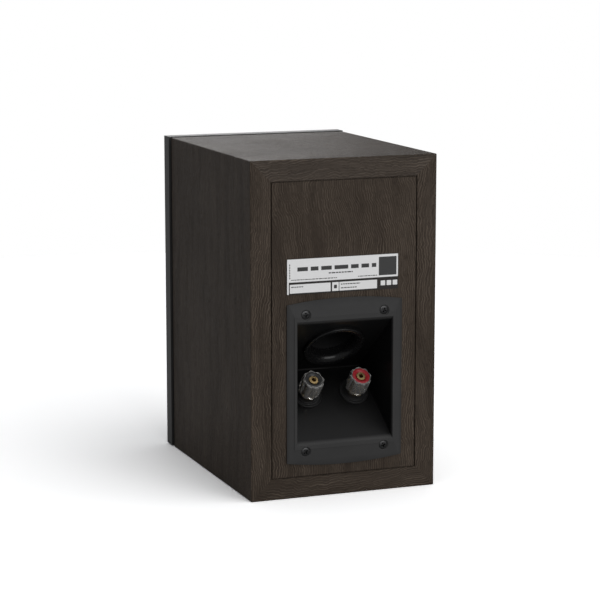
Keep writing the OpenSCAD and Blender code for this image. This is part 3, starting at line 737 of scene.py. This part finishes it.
def drilled(piece, cutter):
    """The piece with the cutter's shape taken out of it. The cutter is used up."""
    cut = piece.modifiers.new("cut", "BOOLEAN")
    cut.operation = "DIFFERENCE"
    cut.solver = "EXACT"
    cut.object = cutter
    bpy.context.view_layer.update()
    baked(piece)
    bpy.data.objects.remove(cutter)
    return piece


def cross_screw(name, head_r, depth, place):
    """A countersunk screw head with a cross recess, and a plain shank below it."""
    crown = [(0.01, 0.0), (head_r * 0.5, -0.04), (head_r * 0.8, -0.14), (head_r * 0.97, -0.3), (head_r, -0.45)]
    profile = crown + [(head_r * 0.5, -depth), (head_r * 0.48, -depth - 5), (0.01, -depth - 5)]
    head = lathe(name, profile, place, 48)
    long_arm, short_arm = head_r * 0.6, head_r * 0.16
    plus = [
        (long_arm, -short_arm), (long_arm, short_arm), (short_arm, short_arm), (short_arm, long_arm),
        (-short_arm, long_arm), (-short_arm, short_arm), (-long_arm, short_arm), (-long_arm, -short_arm),
        (-short_arm, -short_arm), (-short_arm, -long_arm), (short_arm, -long_arm), (short_arm, -short_arm),
    ]
    rings = [[(x * s, y * s, z) for x, y in plus] for s, z in ((0.6, -1.6), (1.0, 0.2))]
    return drilled(head, stacked("cutter", rings, place))


def turned(place, degrees):
    return place @ Matrix.Rotation(math.radians(degrees), 4, "Z")


def make_plate_screws():
    heads = []
    for spot, angle in zip(plate_screw_spots(), (20, 65, 38, 5)):
        heads.append(cross_screw("head", PLATE_SCREW_R, 1.1, turned(facing(spot, (0, 1, 0)), angle)))
    finished(joined("plate_screw_heads", heads), "cabinet", BLACKENED, "plate_screws", slot="zinc_screws")


# ---------------------------------------------------------------- binding posts

def fluted(radius, depth, count=8, steps=128):
    """An outline with shallow flutes, as (x, y) points."""
    out = []
    for k in range(steps):
        a = math.tau * k / steps
        dip = (0.5 - 0.5 * math.cos(count * a)) ** 1.6
        r = radius - depth * dip
        out.append((r * math.cos(a), r * math.sin(a)))
    return out


def make_knob(colour, place):
    """The clear fluted nut: round edges outside, and inside a bore for the insert and a well for the marker."""
    base, length, outer, seat, well = NUT_BASE, 18.0, 9.8, 6.1, 7.8
    top = base + length
    edge = 1.3
    rings = [circle(seat, base)]
    outline = fluted(outer, 1.2)

    def ring(inset, z):
        scale = (outer - inset) / outer
        return [(x * scale, y * scale, z) for x, y in outline]

    rings += [ring(edge * (1 - math.sin(a)), base + edge * (1 - math.cos(a))) for a in arc(0, 90, 5)]
    rings += [ring(1.1 * (1 - math.cos(a)), top - 1.4 * (1 - math.sin(a))) for a in arc(0, 90, 5)]
    rings += [circle(well + 0.15, top), circle(well, top - 0.15), circle(well, top - 2.4)]
    rings += [circle(seat, top - 2.4), circle(seat, base)]
    nut = stacked(colour + "_nut_shell", rings, place, capped=False)
    finished(nut, colour + "_nut", CLEAR, colour + "_knob", slot="clear_nut")


def make_post(colour, tint):
    """One binding post: nut, insert, marker, stem and washer. Gives back its collar, which both posts share."""
    place = at_post(colour)
    make_knob(colour, place)
    base, top = NUT_BASE + 0.05, 22.3
    core = rounded([(3.97, base), (6.1, base), (6.1, top), (3.97, top)], 0.3, 3)
    insert = lathe(colour + "_insert", core, place, 96)
    finished(insert, colour + "_nut", GOLD, colour + "_knob_insert", slot="gold_plate")
    face = top + 2.4
    band = [(4.25, top), (7.75, top), (7.75, face), (6.3, face), (4.5, face - 0.9), (4.25, face - 1.1)]
    ring = lathe(colour + "_marker", rounded(band, 0.25, 4), place, 96)
    finished(ring, colour + "_nut", tint, colour + "_ring", slot=colour + "_mark")
    stem = softened(colour + "_post_stem", 0.25)
    finished(stem, "cabinet", GOLD, colour + "_post_stem", slot="gold_plate")
    disc = rounded([(4.05, 5.5), (8.0, 5.5), (8.0, NUT_BASE), (4.05, NUT_BASE)], 0.25, 3)
    washer = lathe(colour + "_washer", disc, place, 96)
    finished(washer, colour + "_clamp", NICKEL, colour + "_clamp_washer", slot="bright_steel")
    dish = rounded(
        [(3.95, 0.02), (13.4, 0.02), (12.9, 1.5), (12.2, 1.5), (11.8, 0.6), (9.9, 0.6), (9.3, 2.0), (3.95, 2.0)],
        [0.1, 0.3, 0.5, 0.5, 0.4, 0.4, 0.4, 0.1], 4,
    )
    return lathe(colour + "_collar", dish, place, 128)


def make_posts():
    collars = [make_post("red", RED_MARK), make_post("black", BLACK_MARK)]
    finished(joined("post_collar_rings", collars), "cabinet", BLACK_MOULDING, "post_collars", slot="moulded_black")


# ---------------------------------------------------------------- drivers on the front

def out_from(place, radius, degrees):
    """The same matrix, moved out along its own X and Y to a point of a circle."""
    a = math.radians(degrees)
    return place @ Matrix.Translation(mm((radius * math.cos(a), radius * math.sin(a), 0)))


def screw_circle(name, place, count, radius, phase, head_r, depth, node):
    """A driver's screws. Each cross recess points its own way."""
    heads = []
    for k in range(count):
        spot = out_from(place, radius, phase + 360 * k / count)
        heads.append(cross_screw("head", head_r, depth, turned(spot, 37 * k)))
    finished(joined(name, heads), "cabinet", DARK_ZINC, node, slot="zinc_screws")


def roll_profile(middle, outer, inner, base, flat_in, flat_out):
    """A half roll of rubber or cloth with a flat lip on each side, as a closed (radius, height) outline."""
    skin = outer - inner
    fillet = 12  # degrees left out at each foot of the roll
    over = [(middle + outer * math.cos(a), base + outer * math.sin(a)) for a in arc(fillet, 180 - fillet, 24)]
    under = [(middle + inner * math.cos(a), base + inner * math.sin(a)) for a in arc(180, 0, 24)]
    return [(flat_out, base), (flat_out, base + skin)] + over + [(flat_in, base + skin), (flat_in, base)] + under


def make_roll(name, profile, place, count, steps, material, node):
    """A driver's surround or spider, in wedges; its CAD node is hidden."""
    for k in range(count):
        start = math.tau * k / count
        wedge = lathe(f"{name}_{k:02d}", profile, place, steps, start=start, sweep=math.tau / count)
        wedge.data.materials.append(material)
        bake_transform(wedge)
        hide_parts(node)


def spider_profile(inner, outer, level, skin):
    """The centring cloth: a flat ring with three soft corrugations, as a closed outline."""
    radii = [inner + (outer - inner) * k / 90 for k in range(91)]
    rise, half_width = 1.2, 2.2
    lift = []
    for r in radii:
        near = min(abs(r - ridge) for ridge in (16.4, 22.4, 28.4))
        lift.append(rise * math.cos(math.pi * near / half_width / 2) ** 2 if near < half_width else 0.0)
    over = [(r, level + skin + up) for r, up in zip(radii, lift)]
    return over + [(r, level + up) for r, up in reversed(list(zip(radii, lift)))]


def shell(name, curve, thickness, place, steps):
    """A thin turned shell: the curve is its front face, from the rim to the middle."""
    back = [(max(r, 0.0), z - thickness) for r, z in reversed(curve)]
    return lathe(name, list(curve) + back, place, steps)


def make_woofer():
    moving = "woofer_cone_assembly"
    basket = softened("woofer_basket", 0.5, 3, angle=35)
    finished(basket, "cabinet", BLACK_CAST, "woofer_basket", slot="basket_metal")
    band = [(58.4, 0.02), (63.8, 0.02), (63.8, 0.8), (62, 3), (60, 3), (58.4, 1.6)]
    trim = lathe("woofer_trim_ring", rounded(band, [0.05, 0.3, 0.5, 0.9, 0.9, 0.6], 5), AT_WOOFER, 192)
    finished(trim, "cabinet", SOFT_RUBBER, "woofer_trim", slot="soft_rubber")
    roll = roll_profile(53.6, 3.9, 3.1, -0.9, 49.2, 57.9)
    make_roll("woofer_surround", roll, AT_WOOFER, 24, 8, SOFT_RUBBER, "woofer_surround")
    curve = [(50.4, -0.96), (49.6, -0.97), (48.7, -1.15)]
    for t in [k / 24 for k in range(1, 25)]:
        curve.append((48.7 - 35.4 * t, -1.15 - 22.85 * t - 1.1 * math.sin(math.pi * t)))
    cone = shell("woofer_cone_paper", curve, 0.9, AT_WOOFER, 192)
    finished(cone, moving, CONE_PAPER, "woofer_cone", slot="cone_paper")
    cap = [(20 * math.sin(a), -33.5 + 20 * math.cos(a)) for a in arc(54, 3, 17)]
    cap = [(16.35, -21.9)] + cap + [(0.01, -13.5)]
    finished(shell("woofer_cap", cap, 0.7, AT_WOOFER, 128), moving, CAP_PAPER, "woofer_dust_cap", slot="dust_cap")
    cloth = spider_profile(13.15, 35.4, -35, 0.65)
    make_roll("woofer_spider", cloth, AT_WOOFER, 24, 4, SPIDER, "woofer_spider")
    screw_circle("woofer_screw_heads", AT_WOOFER, 6, 68, 30, 3.2, 2.0, "woofer_screws")


def make_faceplate():
    """The tweeter's plate: a shallow horn, a soft outer edge and four countersunk holes."""
    steps = [k / 16 for k in range(17)]
    horn = [(30.2 - 11.8 * t, -3.35 * math.sin(math.radians(90 * t)) ** 1.15 - 0.04) for t in steps]
    rim = rounded([(50, -4), (50, -0.02), (32.2, -0.02), (30.2, -0.04)], [0, 0.6, 1.2, 0], 6)[1:-1]
    plate = lathe("tweeter_face", [(18.4, -4), (50, -4)] + rim + horn, AT_TWEETER, 192)
    sink = [(0.01, -4.5), (1.75, -4.5), (1.75, -1.85), (3.05, -0.04), (3.3, 0.5), (0.01, 0.5)]
    for k in range(4):
        drilled(plate, lathe("cutter", sink, out_from(AT_TWEETER, TWEETER_SCREWS, 45 + 90 * k), 48))
    smooth(plate.data)
    return evened(plate)


def make_tweeter():
    moving = "tweeter_dome_assembly"
    finished(make_faceplate(), "cabinet", FACE_PLASTIC, "tweeter_faceplate", slot="moulded_black")
    roll = roll_profile(16.1, 1.7, 1.35, -3.4, 14.42, 18.35)
    make_roll("tweeter_surround", roll, AT_TWEETER, 12, 12, DOME_CLOTH, "tweeter_surround")
    ball, rim = 20, 14
    drop = math.sqrt(ball ** 2 - rim ** 2)
    angles = [math.asin(rim / ball) * (1 - k / 20) for k in range(21)]
    curve = [(max(ball * math.sin(a), 0.01), -3.4 - drop + ball * math.cos(a)) for a in angles]
    dome = shell("tweeter_dome_cloth", curve, 0.33, AT_TWEETER, 128)
    finished(dome, moving, DOME_CLOTH, "tweeter_dome", slot="dome_silk")
    screw_circle("tweeter_screw_heads", AT_TWEETER, 4, TWEETER_SCREWS, 45, 3.0, 1.8, "tweeter_screws")


# ---------------------------------------------------------------- what the cabinet hides

def painted(material, *nodes):
    """A better material on CAD nodes whose shape stays."""
    for node in nodes:
        obj = frame["nodes"][node]
        if not obj.material_slots:
            obj.data.materials.append(None)
        for place in obj.material_slots:
            place.link = "OBJECT"
            place.material = material


def make_wadding():
    """The fibre wadding: the CAD block, finely cut up and lumpy."""
    mesh, bm = simplified("damping_wadding", 1)
    bmesh.ops.subdivide_edges(bm, edges=bm.edges, cuts=15, use_grid_fill=True)
    bm.normal_update()
    moves = []
    for v in bm.verts:
        lump = noise.noise(v.co * 45) * 0.6 + noise.noise(v.co * 130) * 0.4
        moves.append((v, v.normal * mm(-1.6 + 1.3 * lump)))
    for v, move in moves:
        v.co += move
    bm.to_mesh(mesh)
    bm.free()
    smooth(mesh, 60)
    finished(link("wadding_fleece", mesh), "cabinet", WADDING, "damping_wadding", slot="wadding")


def paint_insides():
    painted(RAW_BOARD, "shelf_brace")
    painted(FOAM, "plate_gasket", "woofer_gasket", "tweeter_gasket")
    painted(NICKEL, "post_nuts", "solder_tags")
    painted(STEEL, "woofer_top_plate", "woofer_yoke", "tweeter_top_plate", "tweeter_yoke", "crossover_screws")
    painted(FERRITE, "woofer_magnet", "tweeter_magnet")
    painted(FORMER, "woofer_coil_former")
    painted(COPPER, "woofer_voice_coil", "tweeter_voice_coil", "crossover_coils")
    painted(BLACK_MOULDING, "tweeter_chamber")
    painted(SOLDER_MASK, "crossover_board")
    painted(FILM_CAN, "crossover_capacitors")
    painted(CERAMIC, "crossover_resistor")
    painted(WIRE_COAT, "internal_wires")


# ---------------------------------------------------------------- material set

BLACK_MOULDING = moulded_plastic("black_moulding", (0.011, 0.011, 0.0113), 0.45)
# the recess colour is partly the recess's own tone and partly painted shade; the plate darkens it further with depth
# as painted shade
PLATE_PLASTIC = plate_plastic("plate_plastic", (0.057, 0.0565, 0.0565), (0.006, 0.006, 0.0062), Y_RIM / 1000)
PORT_PLASTIC = moulded_plastic("port_plastic", (0.006, 0.006, 0.0063), 0.26, 0.00003)
LABEL_DARK = moulded_plastic("label_dark_film", (0.022, 0.019, 0.017), 0.5, 0.00001)
LABEL_SILVER = metal("label_silver_foil", (0.94, 0.94, 0.94), 0.5, (60.0, 60.0, 4000.0), 0.12, 0.25)
LABEL_INK = moulded_plastic("label_dark_ink", (0.05, 0.05, 0.05), 0.5, 0.00001)
BLACKENED = metal("blackened_zinc", (0.052, 0.052, 0.053), 0.34)
DARK_ZINC = metal("dark_zinc", (0.022, 0.022, 0.023), 0.24)
GOLD = metal("gold_plating", (0.6, 0.43, 0.2), 0.26)
NICKEL = metal("nickel_plating", (0.62, 0.61, 0.58), 0.24)
CLEAR = clear_plastic("clear_nut_plastic", (0.86, 0.85, 0.83))
RED_MARK = moulded_plastic("red_marker", (0.33, 0.02, 0.028), 0.25, 0.00002)
BLACK_MARK = moulded_plastic("black_marker", (0.035, 0.035, 0.035), 0.18, 0.00002)
BLACK_CAST = moulded_plastic("black_cast_basket", (0.014, 0.014, 0.014), 0.5, 0.00009, 1500.0)
SOFT_RUBBER = rubber("soft_rubber", (0.014, 0.014, 0.014), 0.55)
CONE_PAPER = pressed_fibre("cone_paper", (0.05, 0.022, 0.016))
CAP_PAPER = pressed_fibre("cap_paper", (0.022, 0.013, 0.011))
FACE_PLASTIC = moulded_plastic("faceplate_plastic", (0.013, 0.013, 0.013), 0.36, 0.00004)
DOME_CLOTH = woven("dome_cloth", (0.022, 0.022, 0.023), 0.0004)
SOCKET_RUBBER = rubber("socket_rubber", (0.02, 0.02, 0.02), 0.5)
RAW_BOARD = pressed_fibre("raw_fibreboard", (0.33, 0.22, 0.12))
FOAM = rubber("foam_strip", (0.03, 0.03, 0.03), 0.85, 0.0002)
STEEL = metal("zinced_steel", (0.55, 0.56, 0.58), 0.35)
FERRITE = moulded_plastic("ferrite", (0.05, 0.05, 0.053), 0.6, 0.0001, 900.0)
FORMER = lacquer("coil_former_film", (0.45, 0.24, 0.08), 0.3)
COPPER = metal("copper_windings", (0.75, 0.34, 0.16), 0.28, (300.0, 5000.0, 5000.0), 0.35)
SPIDER = woven("spider_cloth", (0.42, 0.3, 0.12), 0.0008)
SOLDER_MASK = lacquer("solder_mask", (0.012, 0.075, 0.035), 0.3)
FILM_CAN = lacquer("film_capacitor", (0.62, 0.44, 0.08), 0.35)
CERAMIC = moulded_plastic("ceramic_body", (0.62, 0.6, 0.54), 0.75, 0.0001, 1200.0)
WIRE_COAT = rubber("wire_coat", (0.03, 0.03, 0.03), 0.45)
WADDING = pressed_fibre("polyester_wadding", (0.62, 0.62, 0.6))

make_camera()
make_studio()
make_cabinet()
make_terminal_plate()
make_port()
make_label()
make_plate_screws()
make_posts()
make_woofer()
make_tweeter()
finished(softened("grille_sockets", 0.25), "cabinet", SOCKET_RUBBER, "grille_sockets", slot="soft_rubber")
make_wadding()
paint_insides()

floor = link("floor", mesh_of("floor", circle(FLOOR_RADIUS, 0, 96), [tuple(range(96))]))
floor.data.materials.append(floor_material())
